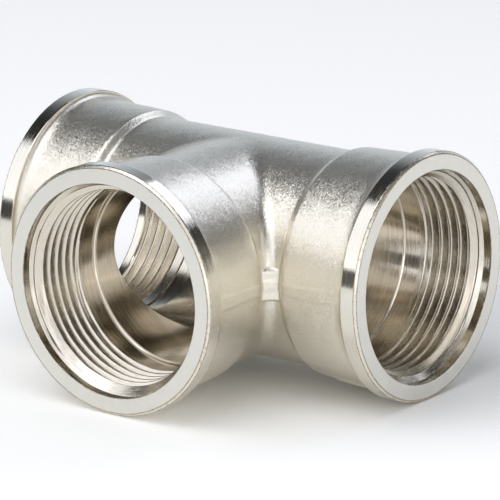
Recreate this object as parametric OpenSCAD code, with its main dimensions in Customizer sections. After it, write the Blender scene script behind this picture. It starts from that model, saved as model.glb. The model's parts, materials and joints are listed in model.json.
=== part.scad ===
// Equal pipe tee with three female G 1 1/4 threads.
// The run lies along X, the branch points along -Y and +Z is up.
// The origin is the point where the three port axes cross.
// Each port is described once, along +X from the centre, and is turned into place.

/* [Body] */
// Distance from the centre to each end face
centre_to_face = 45; // [43:0.5:60]
// Outer diameter of the barrel between the sockets
barrel_d = 43.8; // [43:0.1:45]
// Outer diameter of a socket at its shoulder
socket_shoulder_d = 46.4; // [45.6:0.1:47]
// Outer diameter of a socket where it meets the collar
socket_collar_d = 47.4; // [47.1:0.1:48]
// Distance from the centre to the socket's edge of the shoulder
shoulder_from_centre = 25.9; // [25:0.1:27]

/* [Collar] */
// Outer diameter of the turned collar at each mouth
collar_d = 50.3; // [49:0.1:54]
// Width of the collar along the port
collar_w = 3.7; // [3:0.1:6]
// Chamfer on the collar's front edge
collar_chamfer = 0.5; // [0.2:0.05:1.5]
// Round on the collar's back edge, cut as a chamfer
collar_back_chamfer = 0.4; // [0.1:0.05:0.8]

/* [Thread] */
// Major diameter of the internal thread, at the root of its groove
thread_major_d = 41.91; // [41.5:0.01:42]
// Minor diameter of the internal thread, across its crests
thread_minor_d = 38.952; // [38.8:0.01:39.2]
// Pitch: 11 turns to the inch
thread_pitch = 2.309; // [2:0.001:2.54]
// Angle between the two flanks of the groove
flank_angle = 55; // [50:1:60]
// Depth from the mouth at which the last groove ends
thread_end_depth = 14; // [13:0.1:15]
// Number of grooves; the first one cuts into the entry cone
groove_count = 5; // [3:1:5]

/* [Bores] */
// Diameter of the plain counterbore at the mouth
counterbore_d = 42.9; // [42.3:0.1:43.5]
// Depth of the counterbore
counterbore_depth = 1.8; // [1:0.1:3]
// Depth at which the minor bore ends and the relief begins
relief_start_depth = 16; // [15.5:0.1:17]
// Diameter of the relief behind the thread
relief_d = 39.5; // [39.5:0.1:41]
// Depth at which the relief ends and the waterway begins
relief_end_depth = 20; // [18.5:0.1:21]
// Diameter of the waterway through the middle
waterway_d = 38.4; // [30:0.1:38.5]

/* [Crotch webs] */
// Height of the trimmed web in each corner between run and branch
web_h = 6.2; // [3:0.2:10]
// Distance from the centre to the web's flat face
web_from_centre = 32.6; // [32:0.1:34.6]

/* [Hidden] */
$fn = 96;

skin_colour = "gainsboro";
turned_colour = "silver";
bore_colour = "darkkhaki";

// Angles that turn the +X port into the right, branch and left port
right_angle = 0;
branch_angle = -90;
left_angle = 180;
port_angles = [right_angle, branch_angle, left_angle];

shoulder_step = (socket_shoulder_d - barrel_d) / 2;
barrel_end = shoulder_from_centre - shoulder_step;
collar_start = centre_to_face - collar_w;
cone_len = (counterbore_d - thread_minor_d) / 2;
// The thread zone is a sleeve of metal out to this diameter
sleeve_d = 44.4;
sleeve_start = centre_to_face - relief_start_depth;
sleeve_len = relief_start_depth - counterbore_depth;
relief_start = centre_to_face - relief_end_depth;
web_depth = 6;
web_w = 6;

// Groove profile: P/6 flats at crest and root, so a groove is 5P/6 wide at the crests
flank_slope = tan(flank_angle / 2);
groove_w_at_minor = thread_pitch * 5 / 6;
groove_inner_r = thread_minor_d / 2 - 0.3;
groove_outer_r = thread_major_d / 2;
overlap = 1;

function groove_w(r) = groove_w_at_minor - 2 * (r - thread_minor_d / 2) * flank_slope;

// One groove of the thread, drawn as a ring round the X axis and centred at x
module groove_ring(x) {
    inner_half = groove_w(groove_inner_r) / 2;
    outer_half = groove_w(groove_outer_r) / 2;
    translate([x, 0, 0])
        rotate([0, 90, 0])
            rotate_extrude()
                polygon([
                    [groove_inner_r, -inner_half], [groove_outer_r, -outer_half],
                    [groove_outer_r, outer_half], [groove_inner_r, inner_half]
                ]);
}

// All the grooves of one port, counted from the deepest one
module grooves() {
    deepest = centre_to_face - thread_end_depth + groove_w_at_minor / 2;
    for (i = [0 : groove_count - 1])
        groove_ring(deepest + i * thread_pitch);
}

// A cylinder along +X from x, tapering from diameter d1 to d2
module along_x(x, len, d1, d2) {
    translate([x, 0, 0])
        rotate([0, 90, 0])
            cylinder(h = len, d1 = d1, d2 = d2);
}

// Everything bored out of the forging for one port
module port_bore() {
    along_x(0, relief_start + overlap, waterway_d, waterway_d);
    along_x(relief_start, relief_end_depth - relief_start_depth, relief_d, relief_d);
    along_x(sleeve_start, relief_start_depth, sleeve_d, sleeve_d);
}

// Outside of one socket: the shoulder up from the barrel, then the draughted wall
module socket_outside() {
    along_x(barrel_end, shoulder_step, barrel_d, socket_shoulder_d);
    along_x(shoulder_from_centre, collar_start - shoulder_from_centre,
            socket_shoulder_d, socket_collar_d);
}

// Web left in the corner between two ports where the forging flash was trimmed
module crotch_web(angle) {
    rotate([0, 0, angle])
        translate([web_from_centre - web_depth, -web_w / 2, -web_h / 2])
            cube([web_depth, web_w, web_h]);
}

// The forged middle: three barrels that meet, with the waterways bored through
module forged_barrel() {
    color(skin_colour)
        difference() {
            union() {
                for (angle = port_angles)
                    rotate([0, 0, angle])
                        along_x(0, barrel_end, barrel_d, barrel_d);
                difference() {
                    for (angle = [branch_angle / 2, branch_angle * 3 / 2])
                        crotch_web(angle);
                    for (angle = port_angles)
                        rotate([0, 0, angle])
                            socket_outside();
                }
            }
            for (angle = port_angles)
                rotate([0, 0, angle])
                    port_bore();
        }
}

// Forged socket of one port, from the shoulder to the collar
module socket(angle) {
    color(skin_colour)
        rotate([0, 0, angle])
            difference() {
                socket_outside();
                port_bore();
            }
}

// Turned collar at one mouth, with the plain counterbore and the flat end face
module collar(angle) {
    straight = collar_w - collar_chamfer - collar_back_chamfer;
    color(turned_colour)
        rotate([0, 0, angle])
            difference() {
                union() {
                    along_x(collar_start, collar_back_chamfer,
                            collar_d - 2 * collar_back_chamfer, collar_d);
                    along_x(collar_start + collar_back_chamfer, straight, collar_d, collar_d);
                    along_x(centre_to_face - collar_chamfer, collar_chamfer,
                            collar_d, collar_d - 2 * collar_chamfer);
                }
                along_x(collar_start - overlap, collar_w + 2 * overlap,
                        counterbore_d, counterbore_d);
                along_x(collar_start - overlap, collar_w + overlap - counterbore_depth,
                        sleeve_d, sleeve_d);
            }
}

// Threaded zone of one port: entry cone, minor bore and the grooves
module threaded_zone(angle) {
    color(bore_colour)
        rotate([0, 0, angle])
            difference() {
                along_x(sleeve_start, sleeve_len, sleeve_d, sleeve_d);
                along_x(sleeve_start - overlap, sleeve_len + 2 * overlap,
                        thread_minor_d, thread_minor_d);
                along_x(centre_to_face - counterbore_depth - cone_len, cone_len,
                        thread_minor_d, counterbore_d);
                grooves();
            }
}

module left_socket() { socket(left_angle); }
module right_socket() { socket(right_angle); }
module branch_socket() { socket(branch_angle); }
module left_collar() { collar(left_angle); }
module right_collar() { collar(right_angle); }
module branch_collar() { collar(branch_angle); }
module left_thread() { threaded_zone(left_angle); }
module right_thread() { threaded_zone(right_angle); }
module branch_thread() { threaded_zone(branch_angle); }

forged_barrel();
left_socket();
right_socket();
branch_socket();
left_collar();
right_collar();
branch_collar();
left_thread();
right_thread();
branch_thread();
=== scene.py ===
import json
import math

import bmesh
import bpy
import numpy as np
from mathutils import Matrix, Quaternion, Vector


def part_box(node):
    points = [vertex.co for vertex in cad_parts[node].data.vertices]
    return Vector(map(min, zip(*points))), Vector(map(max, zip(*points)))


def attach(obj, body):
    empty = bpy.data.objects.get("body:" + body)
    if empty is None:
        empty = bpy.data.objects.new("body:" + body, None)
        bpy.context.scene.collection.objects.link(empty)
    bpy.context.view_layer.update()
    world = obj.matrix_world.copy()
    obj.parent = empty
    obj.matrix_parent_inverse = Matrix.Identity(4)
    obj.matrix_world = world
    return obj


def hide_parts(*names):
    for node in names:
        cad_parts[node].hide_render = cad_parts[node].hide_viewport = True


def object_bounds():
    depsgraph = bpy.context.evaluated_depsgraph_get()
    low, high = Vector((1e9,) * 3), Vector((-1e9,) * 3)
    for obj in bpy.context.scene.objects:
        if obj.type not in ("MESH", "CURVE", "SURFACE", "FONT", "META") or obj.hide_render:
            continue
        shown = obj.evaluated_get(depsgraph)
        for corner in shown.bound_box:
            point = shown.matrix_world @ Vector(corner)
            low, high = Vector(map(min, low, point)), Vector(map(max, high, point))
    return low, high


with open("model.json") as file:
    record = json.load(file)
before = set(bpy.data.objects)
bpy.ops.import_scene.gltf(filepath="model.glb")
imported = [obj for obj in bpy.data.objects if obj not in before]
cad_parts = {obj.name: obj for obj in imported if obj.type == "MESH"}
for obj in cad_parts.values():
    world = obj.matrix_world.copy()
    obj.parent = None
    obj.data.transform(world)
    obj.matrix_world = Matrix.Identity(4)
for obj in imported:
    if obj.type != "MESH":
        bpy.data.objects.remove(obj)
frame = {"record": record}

cad_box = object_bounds()

# ---------------------------------------------------------------- sizes, in millimetres
MM = 0.001
RECORD = frame["record"]
MOUNTS = {mount["name"]: mount for mount in RECORD["mounts"]}


def box_mm(node):
    low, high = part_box(node)
    return low / MM, high / MM


def mount_radius(name):
    return MOUNTS[name]["dims"]["r_mm"]


BARREL_R = box_mm("forged_barrel")[1].z
BARREL_END = box_mm("right_socket")[0].x
SOCKET_END = box_mm("right_socket")[1].x
SOCKET_END_R = box_mm("right_socket")[1].z
FACE = box_mm("right_collar")[1].x
COLLAR_R = box_mm("right_collar")[1].z
SLEEVE_START = box_mm("right_thread")[0].x
SLEEVE_END = box_mm("right_thread")[1].x
SLEEVE_R = box_mm("right_thread")[1].z
WATERWAY_R = mount_radius("run_waterway")
CREST_R = mount_radius("run_threads")
COUNTERBORE_R = mount_radius("right_counterbore")

SHOULDER_STEP = 1.3          # how far the socket stands out from the barrel at its shoulder
EDGE_SOFTNESS = 0.32         # rounding of the forged edges
FILLET_R = 2.3               # fillet between the barrels, at the crotch
FILLET_GROWTH = 0.85         # how fast the fillet opens out where the barrels meet at a flatter angle
FILLET_LARGEST = 14.0
FLARE_HEIGHT = 1.25          # flare between a socket and its turned collar
FLARE_LENGTH = 2.0
COLLAR_CHAMFER = 0.5
RELIEF_R = 19.75
RELIEF_DEPTH = 20.0          # distance from the end face to the inner end of the relief
RELIEF_START = FACE - RELIEF_DEPTH
RELIEF_CHAMFER = 0.25        # at the inner end of the relief
PITCH = 2.309
MAJOR_R = 20.955
FLANK = math.radians(27.5)   # half of the groove's 55 degrees
THREAD_END = 15.9            # depth at which the last groove has run out

COLUMNS = 320                # columns of vertices round each port of the skin
SIDE_CROWDING = 0.35         # how much closer the columns lie at the parting plane
TINY = 1e-9                  # keeps divisions by zero away

PORTS = {"right": 0.0, "branch": -90.0, "left": 180.0}


# ---------------------------------------------------------------- mesh helpers
def turned(points, degrees):
    """Points of a port drawn along +X, turned about Z into the port's place."""
    angle = math.radians(degrees)
    c, s = math.cos(angle), math.sin(angle)
    out = points.copy()
    out[..., 0] = points[..., 0] * c - points[..., 1] * s
    out[..., 1] = points[..., 0] * s + points[..., 1] * c
    return out


def grid_faces(points):
    """Quads of a grid of points (row, column, xyz), whose vertices are numbered row by row."""
    rows, columns = points.shape[:2]
    r, c = np.meshgrid(np.arange(rows - 1), np.arange(columns - 1), indexing="ij")
    a = r * columns + c
    return np.stack([a, a + 1, a + columns + 1, a + columns], axis=-1).reshape(-1, 4)


MERGE_DISTANCE = 2e-6        # in metres, as Blender's own sizes are
SLIVER_LENGTH = 1e-7


def make_object(name, parts, materials, sharp_degrees):
    """One mesh object from [(points in mm, faces, material index)], with doubled vertices merged."""
    points = np.concatenate([part[0].reshape(-1, 3) for part in parts]) * MM
    faces, slots, first = [], [], 0
    for part_points, part_faces, slot in parts:
        faces.append(part_faces + first)
        slots.append(np.full(len(part_faces), slot))
        first += part_points.reshape(-1, 3).shape[0]
    mesh = bpy.data.meshes.new(name)
    mesh.from_pydata(points.tolist(), [], np.concatenate(faces).tolist())
    mesh.polygons.foreach_set("material_index", np.concatenate(slots).astype(np.int32))
    work = bmesh.new()
    work.from_mesh(mesh)
    bmesh.ops.remove_doubles(work, verts=work.verts, dist=MERGE_DISTANCE)
    bmesh.ops.dissolve_degenerate(work, edges=work.edges, dist=SLIVER_LENGTH)
    bmesh.ops.recalc_face_normals(work, faces=work.faces)
    work.to_mesh(mesh)
    work.free()
    for material in materials:
        mesh.materials.append(material)
    mesh.shade_smooth()
    mesh.set_sharp_from_angle(angle=math.radians(sharp_degrees))
    piece = bpy.data.objects.new(name, mesh)
    bpy.context.scene.collection.objects.link(piece)
    return piece


def column_angles(count):
    """Angles round a port, from 0 to a full turn, crowded at the parting plane on both sides."""
    turn = np.linspace(0, 2 * math.pi, count + 1)
    return turn - SIDE_CROWDING * np.sin(2 * turn) / 2


def mitre_start(angles, radius, port):
    """How far along a port its own wall begins: at the mitre with a neighbour, or at the centre."""
    side = radius * np.cos(angles)
    if port == "right":
        side = np.minimum(side, 0)
    elif port == "left":
        side = np.maximum(side, 0)
    return np.abs(side)


def soft_ramp(x, x0, x1, softness):
    """0 before x0, x1 - x0 after x1, straight between, with rounded corners."""
    def rise(t):
        return (t + np.sqrt(t * t + softness * softness)) / 2
    return rise(x - x0) - rise(x - x1)


# Rows that keep the flats flat: (distance from the corner in sizes of the round, largest share of the flat)
FAR_HOLD = (3.4, 0.48)
NEAR_HOLD = (2.2, 0.4)
ARC_MIDDLE = 0.27            # distance of a round's middle row from the corner along both flats, in sizes


def rounded_profile(corners):
    """Rows (along, radius, corner number, on the round?) of a lathe profile from (along, radius, round).

    A round corner becomes a short arc, with two rows on either side that keep the flats beside it flat.
    """
    places = np.array([corner[:2] for corner in corners])
    rows = []
    for i, (along, radius, size) in enumerate(corners):
        if size == 0:
            rows.append((along, radius, i, False))
            continue
        here = places[i]
        to_last, to_next = places[i - 1] - here, places[i + 1] - here
        last_length, next_length = np.linalg.norm(to_last), np.linalg.norm(to_next)
        before, after = to_last / last_length, to_next / next_length
        for reach, share in (FAR_HOLD, NEAR_HOLD):
            rows.append((*(here + min(reach * size, share * last_length) * before), i - 1, False))
        rows.append((*(here + size * before), i, True))
        rows.append((*(here + ARC_MIDDLE * size * (before + after)), i, True))
        rows.append((*(here + size * after), i, True))
        for reach, share in (NEAR_HOLD, FAR_HOLD):
            rows.append((*(here + min(reach * size, share * next_length) * after), i, False))
    return rows


# ---------------------------------------------------------------- forged skin
def skin_radius(s):
    """Outer radius of the forging at a distance s along a port."""
    radius = BARREL_R + soft_ramp(s, BARREL_END, BARREL_END + SHOULDER_STEP, EDGE_SOFTNESS)
    shoulder_r = BARREL_R + SHOULDER_STEP
    draught = (SOCKET_END_R - shoulder_r) / (SOCKET_END - BARREL_END - SHOULDER_STEP)
    return radius + draught * np.maximum(s - BARREL_END - SHOULDER_STEP, 0)


SLOPE_STEP = 1e-3


def wall_distance(along, u, v):
    """Signed distance to one port's outer wall, and its unit normal as (along, u, v)."""
    radial = np.maximum(np.sqrt(u * u + v * v), TINY)
    slope = (skin_radius(along + SLOPE_STEP) - skin_radius(along - SLOPE_STEP)) / (2 * SLOPE_STEP)
    norm = np.sqrt(1 + slope * slope)
    return (radial - skin_radius(along)) / norm, (-slope / norm, u / radial / norm, v / radial / norm)


OPPOSED, TANGENT = -0.9, 0.9997  # cosines between two walls past which no fillet is laid
LEAST_GAP = 1e-6


def filleted(a, b, cosine, radius):
    """Union of two distances with a rolling-ball fillet that vanishes where the walls are tangent."""
    ra, rb = radius - a, radius - b
    gap = np.maximum(1 - cosine * cosine, LEAST_GAP)
    ball = np.sqrt(np.maximum((ra * ra + rb * rb - 2 * cosine * ra * rb) / gap, 0))
    inside = (ra - cosine * rb > 0) & (rb - cosine * ra > 0) & (cosine > OPPOSED) & (cosine < TANGENT)
    return np.where(inside, radius - ball, np.minimum(a, b))


WEB_FACE = 32.6              # distance of the trimmed web's flat from the centre
WEB_HALF_HEIGHT = 3.1
WEB_HALF_WIDTH = 3.0
WEB_ROUND = 0.3
WEB_BLEND = 0.4              # softness of the seam between the web and the barrels


def web_distance(x, y, z):
    """Distance to the rounded web blocks, one in the corner on either side of the branch."""
    out = (np.abs(x) - y) / math.sqrt(2)
    across = (np.abs(x) + y) / math.sqrt(2)
    q = np.stack([
        out - (WEB_FACE - WEB_ROUND),
        np.abs(across) - (WEB_HALF_WIDTH - WEB_ROUND),
        np.abs(z) - (WEB_HALF_HEIGHT - WEB_ROUND),
    ])
    return np.linalg.norm(np.maximum(q, 0), axis=0) + np.minimum(q.max(axis=0), 0) - WEB_ROUND


LEAST_HALF_TURN = 0.01


def skin_distance(x, y, z):
    """Signed distance to the whole forged skin.

    half_turn is the tangent of half the angle between the two walls: 1 where they meet squarely.
    """
    run, (run_s, run_u, run_v) = wall_distance(np.abs(x), y, z)
    branch, (branch_s, branch_u, branch_v) = wall_distance(-y, x, z)
    cosine = run_s * np.sign(x) * branch_u - run_u * branch_s + run_v * branch_v
    half_turn = np.sqrt(np.clip((1 - cosine) / (1 + cosine + TINY), LEAST_HALF_TURN ** 2, 1))
    radius = np.minimum(FILLET_R * half_turn ** -FILLET_GROWTH, FILLET_LARGEST)
    body = np.where(y < 0, filleted(run, branch, cosine, radius), run)
    web = web_distance(x, y, z)
    near = np.maximum(WEB_BLEND - np.abs(body - web), 0) / WEB_BLEND
    return np.minimum(body, web) - near * near * WEB_BLEND / 4


PARTING_HALF = 0.95          # half the width of the trimmed flash line, at the crotch
PARTING_HEIGHT = 0.11
PARTING_WANDER = 0.15        # how far the line strays from the plane
PARTING_WIDENING = 0.03      # gain in half width per mm past the barrel's radius
PARTING_SOFTNESS = 0.09


def parting_line(x, y, z):
    """Low flat ridge in the plane where the forging dies met, left by the trimmed flash."""
    middle = PARTING_WANDER * np.sin(0.23 * x - 0.19 * y)
    half = PARTING_HALF + PARTING_WIDENING * (np.maximum(np.abs(x), np.abs(y)) - BARREL_R)
    return PARTING_HEIGHT / (1 + np.exp((np.abs(z - middle) - half) / PARTING_SOFTNESS))


LAP_HEIGHT = 0.42            # forging lap: a low lump along the underside of the right socket
LAP_CENTRE = 34.2
LAP_ANGLE = math.radians(-62)
LAP_HALF_LENGTH, LAP_HALF_WIDTH, LAP_SLANT = 4.2, 1.3, 0.12
FOLD_OFFSET, FOLD_HALF_WIDTH, FOLD_SLANT, FOLD_SHARE = 1.9, 0.6, 0.2, 0.35


def forging_lap(x, y, z):
    """A long low lump with a shallow fold beside it, where the metal folded over in the die."""
    arc = (np.arctan2(z, -y) - LAP_ANGLE) * SOCKET_END_R
    along = x - LAP_CENTRE
    length = np.exp(-(along / LAP_HALF_LENGTH) ** 4)
    ridge = np.exp(-((arc + LAP_SLANT * along) / LAP_HALF_WIDTH) ** 2)
    fold = np.exp(-((arc - FOLD_OFFSET + FOLD_SLANT * along) / FOLD_HALF_WIDTH) ** 2)
    return LAP_HEIGHT * length * (ridge - FOLD_SHARE * fold)


WAVE_HEIGHT = 0.028


def surface_relief(points):
    """What stands up from the smooth forging, in mm: slow sine waves, the parting line and the lap."""
    x, y, z = points[..., 0], points[..., 1], points[..., 2]
    return parting_line(x, y, z) + forging_lap(x, y, z) + WAVE_HEIGHT * (
        np.sin(0.31 * x + 0.23 * z + 1.1) * np.sin(0.27 * y - 0.19 * z + 0.4)
        + 0.6 * np.sin(0.71 * x - 0.53 * y + 2.0) * np.sin(0.63 * z + 0.37 * x)
        + 0.35 * np.sin(1.43 * y + 1.21 * z) * np.sin(1.31 * x - 0.9)
    )


BISECTIONS = 22


def along_ray(origin, direction, reach_in, reach_out, samples):
    """The outermost point where each ray leaves the skin, found by sampling and bisection."""
    def value(t):
        p = origin + t[..., None] * direction
        return skin_distance(p[..., 0], p[..., 1], p[..., 2])
    low = np.full(origin.shape[:-1], -reach_in)
    step = (reach_in + reach_out) / samples
    for i in range(samples):
        t = np.full(origin.shape[:-1], -reach_in + i * step)
        low = np.where(value(t) <= 0, t, low)
    high = low + step
    for _ in range(BISECTIONS):
        middle = (low + high) / 2
        inside = value(middle) <= 0
        low, high = np.where(inside, middle, low), np.where(inside, high, middle)
    return origin + ((low + high) / 2)[..., None] * direction


SHOULDER_ROWS, WALL_ROWS = 22, 25
BEFORE_SHOULDER, AFTER_SHOULDER, BEFORE_FLARE = 0.6, 0.7, 0.3


def skin_rows():
    """Places of the rows past the mitre zone: close together over the shoulder, wider up to the flare."""
    shoulder_end = BARREL_END + SHOULDER_STEP + AFTER_SHOULDER
    shoulder = np.linspace(BARREL_END - BEFORE_SHOULDER, shoulder_end, SHOULDER_ROWS)
    wall = np.linspace(shoulder_end, SOCKET_END - FLARE_LENGTH - BEFORE_FLARE, WALL_ROWS + 1)[1:]
    return np.concatenate([shoulder, wall])


MITRE_ROWS = 30
MITRE_CROWDING = 1.35        # above 1, the rows lie closer together at the mitre
MITRE_FADE = 4.0             # length over which rays turn from the mitre's plane to the port's radius
PLAIN_BARREL = BARREL_END - 0.3
RAY_IN, RAY_OUT, RAY_SAMPLES = 1.0, 4.6, 40


def outer_patch(port):
    """Outer skin of one port, from its mitre to the flare at the collar, as a grid of points.

    Each point is found along a ray. At the mitre the rays of both ports lie in the mitre's plane, so
    the patches meet there. They turn to point straight out from the port's axis further along.
    """
    angles = column_angles(COLUMNS)
    start = mitre_start(angles, BARREL_R, port)
    fixed = skin_rows()
    share = np.linspace(0, 1, MITRE_ROWS, endpoint=False) ** MITRE_CROWDING
    zone = start[None, :] + share[:, None] * (fixed[0] - start)[None, :]
    along = np.concatenate([zone, np.repeat(fixed[:, None], len(angles), axis=1)])
    radius = np.where(along < PLAIN_BARREL, BARREL_R, skin_radius(along))
    y, z = np.cos(angles)[None, :], np.sin(angles)[None, :]
    points = np.stack([along, radius * y, radius * z], axis=-1)
    radial = np.stack(np.broadcast_arrays(0 * along, y, z), axis=-1)
    meets = start > 0
    mitre = np.stack([np.abs(np.cos(angles)), np.cos(angles), 2 * np.sin(angles)], axis=-1)
    mitre /= np.linalg.norm(mitre, axis=1)[:, None]
    past_mitre = along - start[None, :]
    fade = np.clip(np.maximum(past_mitre / MITRE_FADE, past_mitre / (fixed[0] - start)), 0, 1)
    weight = ((1 - fade) ** 2 * (1 + 2 * fade) * meets[None, :])[..., None]
    direction = radial * (1 - weight) + mitre[None, :, :] * weight
    direction /= np.linalg.norm(direction, axis=-1)[..., None]
    world = turned(points, PORTS[port])
    aim = turned(direction, PORTS[port])
    world = along_ray(world, aim, RAY_IN, RAY_OUT, RAY_SAMPLES)
    world = world + aim * surface_relief(world)[..., None]
    return world, angles


def port_ring(angles, s, r, port):
    """A row of points round one port, at a distance s along it and a radius r."""
    ring = np.stack([np.full(len(angles), s), r * np.cos(angles), r * np.sin(angles)], axis=-1)
    return turned(ring, PORTS[port])


FLARE_ROWS = 10


def collar_flare_rows(angles, wall_row, port):
    """Concave flare from the socket's last row up to the back of the collar, and the inner closing rows."""
    rows = [wall_row]
    start = SOCKET_END - FLARE_LENGTH
    for i in range(1, FLARE_ROWS + 1):
        turn = math.pi / 2 * i / FLARE_ROWS
        s = start + FLARE_LENGTH * math.sin(turn)
        r = SOCKET_END_R + FLARE_HEIGHT * (1 - math.cos(turn))
        rows.append(port_ring(angles, s, r, port))
    rows.append(port_ring(angles, SOCKET_END, SLEEVE_R, port))
    rows.append(port_ring(angles, SLEEVE_START, SLEEVE_R, port))
    return np.stack(rows)


LIP_ROUND, RELIEF_ROUND = 0.05, 0.04
STRAIGHT_WATERWAY = 1.0      # part of the waterway whose rows stay square to the port
WATERWAY_ROWS = 16


def inner_patch(port):
    """Relief and waterway of one port, from the relief's mouth in to the mitre."""
    angles = column_angles(COLUMNS)
    start = mitre_start(angles, WATERWAY_R, port)
    last = RELIEF_START - STRAIGHT_WATERWAY
    profile = rounded_profile([
        (SLEEVE_START, SLEEVE_R, 0),
        (SLEEVE_START, RELIEF_R, LIP_ROUND),
        (RELIEF_START + RELIEF_CHAMFER, RELIEF_R, RELIEF_ROUND),
        (RELIEF_START, RELIEF_R - RELIEF_CHAMFER, RELIEF_ROUND),
        (RELIEF_START, WATERWAY_R, RELIEF_ROUND),
        (last, WATERWAY_R, 0),
    ])
    rows = [port_ring(angles, s, r, port) for s, r, _, _ in profile]
    for share in np.linspace(0, 1, WATERWAY_ROWS + 1)[1:]:
        along = last + share * (start - last)
        ring = np.stack([along, WATERWAY_R * np.cos(angles), WATERWAY_R * np.sin(angles)], axis=-1)
        rows.append(turned(ring, PORTS[port]))
    return np.stack(rows)


def make_skin(skin_material, bore_materials):
    """The forged skin and its bores as one mesh; the run's bore and the branch's have their own material."""
    skin_slot, run_slot, branch_slot = 0, 1, 2
    parts = []
    for port in PORTS:
        outer, angles = outer_patch(port)
        closing = collar_flare_rows(angles, outer[-1], port)
        bore = inner_patch(port)
        bore_slot = branch_slot if port == "branch" else run_slot
        for points, slot in ((outer, skin_slot), (closing, skin_slot), (bore, bore_slot)):
            parts.append((points, grid_faces(points), slot))
    return make_object("forged_skin", parts, [skin_material, *bore_materials], sharp_degrees=60)


# ---------------------------------------------------------------- turned collars
COLLAR_COLUMNS = 720
EDGE_TEAR = 0.022            # size of the tears along the mouth's edges
BACK_ROUND, CHAMFER_ROUND, RIM_ROUND, MOUTH_ROUND = 0.16, 0.07, 0.09, 0.13


def edge_jitter(angles, amount, random):
    """Ragged tool edge round a mouth: a closed row of small seeded offsets."""
    raw = random.normal(0, 1, len(angles) - 1)
    smooth = 0.5 * raw + 0.3 * np.roll(raw, 1) + 0.2 * np.roll(raw, 2)
    return amount * np.append(smooth, smooth[0])


def make_collar(port, seed, materials):
    """Turned ring at one mouth: outer cylinder, chamfer with torn edges, end face and counterbore."""
    angles = np.linspace(0, 2 * math.pi, COLLAR_COLUMNS + 1)
    random = np.random.default_rng(seed)
    turned_slot, torn_slot, face_slot, chamfer_slot = 0, 1, 2, 3
    corners = [
        (SOCKET_END, SLEEVE_R, 0),
        (SOCKET_END, COLLAR_R, BACK_ROUND),
        (FACE - COLLAR_CHAMFER, COLLAR_R, CHAMFER_ROUND),
        (FACE, COLLAR_R - COLLAR_CHAMFER, RIM_ROUND),
        (FACE, COUNTERBORE_R, MOUTH_ROUND),
        (SLEEVE_END, COUNTERBORE_R, 0),
        (SLEEVE_END, SLEEVE_R, 0),
        (SOCKET_END, SLEEVE_R, 0),
    ]
    chamfer_corner, rim_corner, mouth_corner = 2, 3, 4
    torn_corners = (chamfer_corner, rim_corner, mouth_corner)
    slot_after = {chamfer_corner: chamfer_slot, rim_corner: face_slot}
    rows, slots = [], []
    for s, r, corner, on_round in rounded_profile(corners):
        torn = on_round and corner in torn_corners
        amount = EDGE_TEAR if torn else 0.0
        along = s + edge_jitter(angles, amount, random)
        radius = r + edge_jitter(angles, amount, random)
        ring = np.stack([along, radius * np.cos(angles), radius * np.sin(angles)], axis=-1)
        rows.append(turned(ring, PORTS[port]))
        slots.append(torn_slot if torn else slot_after.get(corner, turned_slot))
    points = np.stack(rows)
    faces = grid_faces(points)
    slot_of = np.array(slots)[np.arange(len(faces)) // (points.shape[1] - 1)]
    slots_used = (turned_slot, torn_slot, face_slot, chamfer_slot)
    parts = [(points, faces[slot_of == slot], slot) for slot in slots_used]
    return make_object(port + "_turned_collar", parts, materials, sharp_degrees=75)


# ---------------------------------------------------------------- true helical threads
THREAD_COLUMNS = 320
RUN_OUT = 1.6                # length over which the last groove runs out
CREST_SOFTNESS, ROOT_SOFTNESS = 0.09, 0.16
GROOVE_HALF = PITCH * 5 / 12     # half the groove's width at the crests
CREST_HALF = 0.13            # rows lie closer together over the crest, on this much either side of its edge
ROOT_HALF = 0.25
FLANK_FROM, FLANK_TO = GROOVE_HALF - 0.24, 0.36
CREST_ROWS, FLANK_ROWS, ROOT_ROWS = 6, 3, 5
SPARE_TURNS = 3              # turns drawn past both ends, which are clipped to the ends
FULLY_OUT = 1.02             # how far the last groove fades, in groove depths
# The edge of a groove lies this deep in each port, at this angle round the port's axis
FIRST_EDGE = {"right": 4.2, "left": 4.2, "branch": 4.0}
EDGE_ANGLE = {"right": 0.0, "left": 0.0, "branch": math.pi}


def groove_height(offset):
    """How deep the groove is cut at an axial offset from its middle, with a rounded root and crest."""
    depth = MAJOR_R - CREST_R
    flank = (GROOVE_HALF - np.abs(offset)) / math.tan(FLANK)
    limited = (flank + depth - np.sqrt((flank - depth) ** 2 + ROOT_SOFTNESS ** 2)) / 2
    return (limited + np.sqrt(limited ** 2 + CREST_SOFTNESS ** 2)) / 2


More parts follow.
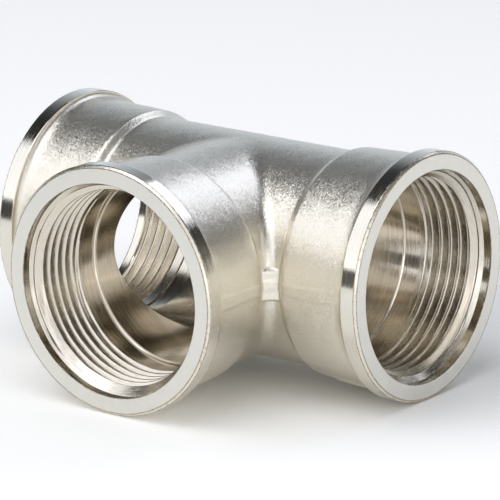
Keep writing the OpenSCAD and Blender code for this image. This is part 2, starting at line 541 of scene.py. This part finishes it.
def make_thread(port, material):
    """Sleeve of one port: entry cone, right-hand helical groove with a run-out, and the land behind it."""
    angles = np.linspace(0, 2 * math.pi, THREAD_COLUMNS + 1)
    crest = np.linspace(-CREST_HALF, CREST_HALF, CREST_ROWS)
    flank = np.linspace(FLANK_FROM, FLANK_TO, FLANK_ROWS)
    root = np.linspace(-ROOT_HALF, ROOT_HALF, ROOT_ROWS)
    steps = np.concatenate([crest - GROOVE_HALF, -flank, root, flank[::-1], crest + GROOVE_HALF])
    mouth = FACE - SLEEVE_END
    deep = FACE - SLEEVE_START
    turns = np.arange(-SPARE_TURNS, int(deep / PITCH) + SPARE_TURNS)
    offset = np.tile(steps, len(turns))[:, None]
    middle = np.repeat(turns * PITCH, len(steps))
    advance = -PITCH * (angles - EDGE_ANGLE[port]) / (2 * math.pi)
    centre = middle[:, None] + FIRST_EDGE[port] + GROOVE_HALF + advance[None, :]
    fade_from = THREAD_END - GROOVE_HALF - RUN_OUT
    fade = np.clip((centre - fade_from) / RUN_OUT, 0, 1)
    fade = fade * fade * (3 - 2 * fade)
    cut = np.maximum(groove_height(offset) - (MAJOR_R - CREST_R) * FULLY_OUT * fade, 0)
    depth = np.clip(centre + offset, mouth, deep)
    cone = np.maximum(COUNTERBORE_R - (depth - mouth), CREST_R)
    radius = np.maximum(cone, CREST_R + cut)
    along = FACE - depth
    inner = np.stack([along, radius * np.cos(angles), radius * np.sin(angles)], axis=-1)
    inner = turned(inner, PORTS[port])
    outline = [
        (SLEEVE_START, CREST_R), (SLEEVE_START, SLEEVE_R),
        (SLEEVE_END, SLEEVE_R), (SLEEVE_END, COUNTERBORE_R),
    ]
    rims = np.stack([port_ring(angles, s, r, port) for s, r in outline])
    shell = np.concatenate([inner, rims])
    return make_object(port + "_cut_thread", [(shell, grid_faces(shell), 0)], [material], sharp_degrees=48)


# ---------------------------------------------------------------- materials
def new_material(name):
    """A metal material, with its nodes, links and shader."""
    material = bpy.data.materials.new(name)
    material.use_nodes = True
    nodes = material.node_tree.nodes
    shader = nodes["Principled BSDF"]
    shader.inputs["Metallic"].default_value = 1.0
    return material, nodes, material.node_tree.links, shader


def object_place(nodes):
    """Places on the piece in its own metres."""
    return nodes.new("ShaderNodeTexCoord").outputs["Object"]


def noise_node(nodes, links, coordinate, scale, detail, roughness):
    node = nodes.new("ShaderNodeTexNoise")
    node.inputs["Scale"].default_value = scale
    node.inputs["Detail"].default_value = detail
    node.inputs["Roughness"].default_value = roughness
    links.new(coordinate, node.inputs["Vector"])
    return node.outputs["Fac"]


NOISE_LOW, NOISE_HIGH = 0.3, 0.7  # usual limits of a noise value


def spread(nodes, links, value, low, high, value_from=0.0, value_to=1.0):
    """Maps value_from..value_to to low..high."""
    node = nodes.new("ShaderNodeMapRange")
    node.inputs["From Min"].default_value = value_from
    node.inputs["From Max"].default_value = value_to
    node.inputs["To Min"].default_value = low
    node.inputs["To Max"].default_value = high
    links.new(value, node.inputs["Value"])
    return node.outputs["Result"]


def noise_spread(nodes, links, value, low, high):
    """Maps a noise value between its usual limits to low..high."""
    return spread(nodes, links, value, low, high, NOISE_LOW, NOISE_HIGH)


def tint(nodes, links, value, dark, light, low=NOISE_LOW, high=NOISE_HIGH):
    """A colour between dark and light, picked by a value between low and high."""
    node = nodes.new("ShaderNodeValToRGB")
    node.color_ramp.elements[0].position = low
    node.color_ramp.elements[0].color = (*dark, 1)
    node.color_ramp.elements[1].position = high
    node.color_ramp.elements[1].color = (*light, 1)
    links.new(value, node.inputs["Fac"])
    return node.outputs["Color"]


def bump(nodes, links, height, distance, strength=1.0, normal=None):
    """A normal bumped by a height, which stands for a distance in metres."""
    node = nodes.new("ShaderNodeBump")
    node.inputs["Distance"].default_value = distance
    node.inputs["Strength"].default_value = strength
    links.new(height, node.inputs["Height"])
    if normal is not None:
        links.new(normal, node.inputs["Normal"])
    return node.outputs["Normal"]


def vector_step(nodes, links, operation, first, second=None):
    """One vector operation; the second input is a constant, a socket, or missing where it isn't needed."""
    node = nodes.new("ShaderNodeVectorMath")
    node.operation = operation
    links.new(first, node.inputs[0])
    if isinstance(second, tuple):
        node.inputs[1].default_value = second
    elif second is not None:
        links.new(second, node.inputs[1])
    return node.outputs["Vector"]


GRAINS_PER_METRE = 5600
GRAIN_TILT = 0.175


def grain_facets(nodes, links, coordinate, normal):
    """Breaks a surface into small flat grains, each tilted its own way. Gives a grey value and a normal."""
    cells = nodes.new("ShaderNodeTexVoronoi")
    cells.inputs["Scale"].default_value = GRAINS_PER_METRE
    links.new(coordinate, cells.inputs["Vector"])
    centred = vector_step(nodes, links, "SUBTRACT", cells.outputs["Color"], (0.5, 0.5, 0.5))
    tilt = vector_step(nodes, links, "MULTIPLY", centred, 3 * (GRAIN_TILT,))
    tilted = vector_step(nodes, links, "ADD", normal, tilt)
    split = nodes.new("ShaderNodeSeparateColor")
    links.new(cells.outputs["Color"], split.inputs["Color"])
    return split.outputs["Red"], vector_step(nodes, links, "NORMALIZE", tilted)


def blasted_material():
    """Shot-blasted forging skin under dull nickel: satin, with a sparkling grain."""
    material, nodes, links, shader = new_material("blasted_nickel_skin")
    place = object_place(nodes)
    cloud = noise_node(nodes, links, place, scale=150, detail=3.0, roughness=0.5)
    uneven = bump(nodes, links, cloud, distance=0.00010, strength=0.3)
    grey, facets = grain_facets(nodes, links, place, uneven)
    colour = tint(nodes, links, grey, dark=(0.745, 0.703, 0.605), light=(0.805, 0.762, 0.665))
    links.new(colour, shader.inputs["Base Color"])
    links.new(spread(nodes, links, grey, low=0.28, high=0.38), shader.inputs["Roughness"])
    links.new(facets, shader.inputs["Normal"])
    return material


ROUGHEST, SMOOTHEST = 1.3, 0.8   # how far a turned surface's roughness varies, as shares of it


def turned_material(name, axis, colours, roughness, rings):
    """Bright turned nickel with rings round the port's axis, from its (dark, light) colours.

    rings is (scale of the noise, how much finer it is along the axis, height of the rings in metres).
    """
    dark, light = colours
    ring_scale, ring_stretch, ring_height = rings
    material, nodes, links, shader = new_material(name)
    place = object_place(nodes)
    stretch = nodes.new("ShaderNodeMapping")
    stretch.inputs["Scale"].default_value = [ring_stretch if axis == side else 1 for side in "XYZ"]
    links.new(place, stretch.inputs["Vector"])
    streaks = noise_node(nodes, links, stretch.outputs["Vector"], ring_scale, detail=3.0, roughness=0.6)
    cloud = noise_node(nodes, links, place, scale=260, detail=3.0, roughness=0.55)
    links.new(tint(nodes, links, streaks, dark, light), shader.inputs["Base Color"])
    shine = noise_spread(nodes, links, streaks, roughness * SMOOTHEST, roughness * ROUGHEST)
    links.new(shine, shader.inputs["Roughness"])
    slow = bump(nodes, links, cloud, distance=0.00003, strength=0.3)
    links.new(bump(nodes, links, streaks, ring_height, normal=slow), shader.inputs["Normal"])
    return material


def torn_edge_material():
    """Edges with tearing and small burrs, warm and dark in spots."""
    material, nodes, links, shader = new_material("torn_edge_nickel")
    speck = noise_node(nodes, links, object_place(nodes), scale=2600, detail=3.0, roughness=0.65)
    colour = tint(nodes, links, speck, dark=(0.17, 0.14, 0.10), light=(0.66, 0.60, 0.50))
    links.new(colour, shader.inputs["Base Color"])
    links.new(noise_spread(nodes, links, speck, low=0.12, high=0.3), shader.inputs["Roughness"])
    links.new(bump(nodes, links, speck, distance=0.00005), shader.inputs["Normal"])
    return material


def chamfer_material():
    """Chamfers: dull tan nickel with small dark pits, which are rougher than the metal between them."""
    material, nodes, links, shader = new_material("chamfer_nickel")
    speck = noise_node(nodes, links, object_place(nodes), scale=650, detail=5.0, roughness=0.75)
    pits, metal = (0.34, 0.285, 0.21), (0.78, 0.725, 0.62)
    links.new(tint(nodes, links, speck, pits, metal, low=0.33, high=0.43), shader.inputs["Base Color"])
    links.new(noise_spread(nodes, links, speck, low=0.34, high=0.2), shader.inputs["Roughness"])
    links.new(bump(nodes, links, speck, distance=0.00003), shader.inputs["Normal"])
    return material


def face_material():
    """End faces: flat, evenly matte nickel with faint mottling."""
    material, nodes, links, shader = new_material("end_face_nickel")
    cloud = noise_node(nodes, links, object_place(nodes), scale=500, detail=3.0, roughness=0.55)
    colour = tint(nodes, links, cloud, dark=(0.72, 0.704, 0.646), light=(0.755, 0.74, 0.684))
    links.new(colour, shader.inputs["Base Color"])
    links.new(noise_spread(nodes, links, cloud, low=0.3, high=0.38), shader.inputs["Roughness"])
    links.new(bump(nodes, links, cloud, distance=0.00002, strength=0.5), shader.inputs["Normal"])
    return material


PAINTED_GLOW = 0.27                  # painted glow: how much the floor shines from within, away from the object
PAINTED_GLOW_FROM, PAINTED_GLOW_TO = 0.035, 0.10     # distances in metres from the centre of the painted shadow, over which the painted glow fades in
# Centre of the painted shadow round the object, where the floor's painted glow is left out
PAINTED_SHADOW_CENTRE = (0.01, 0.03, 0.0)


def floor_material():
    """Plain matt white with a painted glow: it shines a little from within, except round the painted
    shadow's centre, which leaves a painted shadow round the object.
    """
    material = bpy.data.materials.new("pale_floor_painted_glow_and_shadow")
    material.use_nodes = True
    shader = material.node_tree.nodes["Principled BSDF"]
    shader.inputs["Base Color"].default_value = (0.89, 0.885, 0.86, 1)
    shader.inputs["Roughness"].default_value = 0.85
    shader.inputs["Specular IOR Level"].default_value = 0.05
    # Colour of the painted glow
    shader.inputs["Emission Color"].default_value = (1, 0.995, 0.98, 1)
    nodes, links = material.node_tree.nodes, material.node_tree.links
    distance = nodes.new("ShaderNodeVectorMath")
    distance.operation = "LENGTH"
    from_painted_shadow = vector_step(nodes, links, "SUBTRACT", object_place(nodes), PAINTED_SHADOW_CENTRE)
    links.new(from_painted_shadow, distance.inputs[0])
    # Painted shadow: the floor's painted glow fades out towards the object and is gone near the centre
    painted_glow = nodes.new("ShaderNodeMapRange")
    painted_glow.interpolation_type = "SMOOTHSTEP"
    painted_glow.inputs["From Min"].default_value = PAINTED_GLOW_FROM
    painted_glow.inputs["From Max"].default_value = PAINTED_GLOW_TO
    painted_glow.inputs["To Max"].default_value = PAINTED_GLOW
    links.new(distance.outputs["Value"], painted_glow.inputs["Value"])
    links.new(painted_glow.outputs["Result"], shader.inputs["Emission Strength"])
    return material


def flag_material():
    """Matt black card."""
    material = bpy.data.materials.new("black_flag")
    material.use_nodes = True
    shader = material.node_tree.nodes["Principled BSDF"]
    shader.inputs["Base Color"].default_value = (0.05, 0.048, 0.045, 1)
    shader.inputs["Roughness"].default_value = 0.9
    return material


# ---------------------------------------------------------------- studio
# The camera: angles in degrees from its target, where azimuth 0 is the -Y side and 90 is +X
CAMERA_AZIMUTH = 37.384
CAMERA_ELEVATION = 15.733
CAMERA_ROLL = 0.371
CAMERA_DISTANCE = 877.7      # in millimetres, like the target
CAMERA_TARGET = (0.55, 0.0, -1.73)
FOCAL_LENGTH = 312.0
SENSOR_WIDTH = 36.0
NEAREST, FURTHEST = 0.05, 20     # in metres


def make_camera():
    """A long lens that looks down at the target from the side of the right and branch mouths."""
    azimuth, elevation = math.radians(CAMERA_AZIMUTH), math.radians(CAMERA_ELEVATION)
    back = Vector((
        math.cos(elevation) * math.sin(azimuth),
        -math.cos(elevation) * math.cos(azimuth),
        math.sin(elevation),
    ))
    data = bpy.data.cameras.new("camera")
    data.lens = FOCAL_LENGTH
    data.sensor_width = SENSOR_WIDTH
    data.clip_start, data.clip_end = NEAREST, FURTHEST
    camera = bpy.data.objects.new("camera", data)
    camera.location = (Vector(CAMERA_TARGET) + back * CAMERA_DISTANCE) * MM
    camera.rotation_mode = "QUATERNION"
    look = (-back).to_track_quat("-Z", "Y")
    roll = Quaternion((0, 0, 1), -math.radians(CAMERA_ROLL))
    camera.rotation_quaternion = look @ roll
    bpy.context.scene.collection.objects.link(camera)
    bpy.context.scene.camera = camera


# The rest of the studio is in metres
STUDIO_RADIUS = 1.0
COOL = (0.965, 0.988, 1.06)
COOLER = (0.90, 0.95, 1.12)
WARM = (1.0, 0.99, 0.97)
# Upright soft lights: azimuths, elevations, radiance, colour, with angles as for the camera
LIGHTS = {
    "key_left": ((-70, -29), (11, 64), 1.33, COOL),
    "key_right": ((-29, 12), (11, 64), 1.33, COOL),
    "key_edge": ((12, 31), (8, 54), 1.25, COOL),
    "key_falloff": ((31, 42), (4, 46), 0.9, COOL),
    "between": ((42, 50), (-2.4, 38), 1.0, COOL),
    "front_right": ((50, 79), (-2.4, 39), 1.3, COOL),
    "side_right": ((79, 128), (-2.4, 22), 0.85, WARM),
    "side_right_top": ((79, 128), (22, 46), 0.55, WARM),
    "back": ((154, 198), (32, 64), 1.62, COOLER),
}
OVERHEAD = Vector((0.0, -0.33, 1.12))
OVERHEAD_WIDTH, OVERHEAD_DEPTH, OVERHEAD_RADIANCE = 1.1, 0.7, 2.0


def area_light(name, place, way, width, height, radiance, colour):
    """A rectangle of light at a place, facing back along its way, that the camera doesn't see."""
    data = bpy.data.lights.new(name, "AREA")
    data.shape = "RECTANGLE"
    data.size, data.size_y = width, height
    data.energy = radiance * math.pi * width * height
    data.color = colour
    light = bpy.data.objects.new(name, data)
    light.location = place
    light.rotation_mode = "QUATERNION"
    light.rotation_quaternion = way.to_track_quat("Z", "Y")
    light.visible_camera = False
    bpy.context.scene.collection.objects.link(light)


def wall_light(name, azimuths, elevations, radiance, colour):
    """An upright soft light that fills a window of directions, seen from the object."""
    azimuth = math.radians(sum(azimuths) / 2)
    low, high = [STUDIO_RADIUS * math.tan(math.radians(e)) for e in elevations]
    width = 2 * STUDIO_RADIUS * math.tan(math.radians(azimuths[1] - azimuths[0]) / 2)
    way = Vector((math.sin(azimuth), -math.cos(azimuth), 0))
    place = way * STUDIO_RADIUS + Vector((0, 0, (low + high) / 2))
    area_light(name, place, way, width, high - low, radiance, colour)


# Radiance of the world by the sine of the elevation, and the world's colours
BACKDROP_STOPS = [
    (0.0, 0.98), (0.08, 0.95), (0.19, 0.84), (0.31, 0.72), (0.41, 0.62), (0.5, 0.45), (0.59, 0.31),
    (0.67, 0.12), (0.74, 0.04),
]
BACKDROP_COLOUR = (0.84, 0.93, 1.06)
ROOM_STOPS = [(0.0, 0.98), (0.05, 0.9), (0.12, 0.42), (0.26, 0.2), (0.42, 0.07), (0.6, 0.03)]
ROOM_COLOUR = (1.0, 0.975, 0.91)
BACKDROP_SIDE = (-0.5, 0.866, 0)     # level direction towards the middle of the backdrop
BACKDROP_FROM, BACKDROP_FULL = 0.6, 0.85     # cosines of the angle from that direction


def dome_ramp(nodes, links, height, stops, colour):
    """Radiance by the height of a direction, from (sine of the elevation, radiance)."""
    node = nodes.new("ShaderNodeValToRGB")
    elements = node.color_ramp.elements
    while len(elements) < len(stops):
        elements.new(0.5)
    for element, (place, value) in zip(elements, stops):
        element.position = place
        element.color = (*[value * c for c in colour], 1)
    links.new(height, node.inputs["Fac"])
    return node.outputs["Color"]


def make_world():
    """A cool backdrop behind and to the left that fades slowly upwards, and a warmer, darker room around."""
    world = bpy.data.worlds.new("studio")
    world.use_nodes = True
    nodes, links = world.node_tree.nodes, world.node_tree.links
    direction = nodes.new("ShaderNodeTexCoord").outputs["Generated"]
    split = nodes.new("ShaderNodeSeparateXYZ")
    links.new(direction, split.inputs[0])
    backdrop = dome_ramp(nodes, links, split.outputs["Z"], BACKDROP_STOPS, BACKDROP_COLOUR)
    room = dome_ramp(nodes, links, split.outputs["Z"], ROOM_STOPS, ROOM_COLOUR)
    side = nodes.new("ShaderNodeVectorMath")
    side.operation = "DOT_PRODUCT"
    side.inputs[1].default_value = BACKDROP_SIDE
    level = vector_step(nodes, links, "MULTIPLY", direction, (1.0, 1.0, 0.0))
    links.new(vector_step(nodes, links, "NORMALIZE", level), side.inputs[0])
    share = nodes.new("ShaderNodeMapRange")
    share.interpolation_type = "SMOOTHSTEP"
    share.inputs["From Min"].default_value = BACKDROP_FROM
    share.inputs["From Max"].default_value = BACKDROP_FULL
    links.new(side.outputs["Value"], share.inputs["Value"])
    mix = nodes.new("ShaderNodeMix")
    mix.data_type = "RGBA"
    links.new(share.outputs["Result"], mix.inputs["Factor"])
    links.new(room, mix.inputs["A"])
    links.new(backdrop, mix.inputs["B"])
    links.new(mix.outputs["Result"], nodes["Background"].inputs["Color"])
    bpy.context.scene.world = world


def flat_card(name, size, material):
    """A flat rectangular card, which is part of the stage."""
    mesh = bpy.data.meshes.new(name)
    work = bmesh.new()
    bmesh.ops.create_grid(work, x_segments=1, y_segments=1, size=1.0)
    bmesh.ops.scale(work, vec=(size[0] / 2, size[1] / 2, 1), verts=work.verts)
    work.to_mesh(mesh)
    work.free()
    mesh.materials.append(material)
    card = bpy.data.objects.new(name, mesh)
    bpy.context.scene.collection.objects.link(card)
    return card


FLOOR_SIDE = 6.0
FLAG_WIDTH = 0.26
FLAG_DISTANCE = 0.5
FLAG_AZIMUTH = math.radians(-38)
FLAG_ELEVATION = math.radians(11)    # elevation of the flag's upper edge, seen from the object


def make_stage():
    """The floor, and a low black flag in front that the camera doesn't see."""
    floor = flat_card("floor", (FLOOR_SIDE, FLOOR_SIDE), floor_material())
    floor.location.z = cad_box[0].z
    way = Vector((math.sin(FLAG_AZIMUTH), -math.cos(FLAG_AZIMUTH), 0))
    top = FLAG_DISTANCE * math.tan(FLAG_ELEVATION)
    height = top - cad_box[0].z
    flag = flat_card("front_flag", (FLAG_WIDTH, height), flag_material())
    flag.location = way * FLAG_DISTANCE + Vector((0, 0, top - height / 2))
    flag.rotation_mode = "QUATERNION"
    flag.rotation_quaternion = way.to_track_quat("Z", "Y")
    flag.visible_camera = False


# ---------------------------------------------------------------- building
make_camera()
bpy.context.scene.view_settings.view_transform = "Standard"

BORE_COLOURS = ((0.62, 0.567, 0.48), (0.76, 0.708, 0.615))
RIM_COLOURS = ((0.705, 0.672, 0.585), (0.76, 0.728, 0.64))
BORE_RINGS = (130, 24, 0.000014)
CUT_RINGS = (500, 12, 0.000005)
RIM_RINGS = (160, 24, 0.000018)
BORE_ROUGHNESS, CUT_ROUGHNESS, RIM_ROUGHNESS = 0.14, 0.22, 0.12

bored, threaded, rimmed = {}, {}, {}
for line, axis in (("run", "X"), ("branch", "Y")):
    bored[line] = turned_material(line + "_bored_nickel", axis, BORE_COLOURS, BORE_ROUGHNESS, BORE_RINGS)
    threaded[line] = turned_material(line + "_cut_nickel", axis, BORE_COLOURS, CUT_ROUGHNESS, CUT_RINGS)
    rimmed[line] = turned_material(line + "_turned_nickel", axis, RIM_COLOURS, RIM_ROUGHNESS, RIM_RINGS)
torn_edge = torn_edge_material()
end_face = face_material()
chamfered = chamfer_material()

skin = make_skin(blasted_material(), [bored["run"], bored["branch"]])
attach(skin, "root")
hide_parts("forged_barrel", "left_socket", "right_socket", "branch_socket")

COLLAR_SEEDS = {"right": 10, "branch": 12, "left": 14}
for port in PORTS:
    line = "branch" if port == "branch" else "run"
    collar = make_collar(port, COLLAR_SEEDS[port], [rimmed[line], torn_edge, end_face, chamfered])
    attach(collar, "root")
    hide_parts(port + "_collar")
    thread = make_thread(port, threaded[line])
    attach(thread, "root")
    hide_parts(port + "_thread")

make_stage()
make_world()
for name, (azimuths, elevations, radiance, colour) in LIGHTS.items():
    wall_light(name, azimuths, elevations, radiance, colour)
overhead_way = OVERHEAD.normalized()
area_light("overhead", OVERHEAD, overhead_way, OVERHEAD_WIDTH, OVERHEAD_DEPTH, OVERHEAD_RADIANCE, COOL)
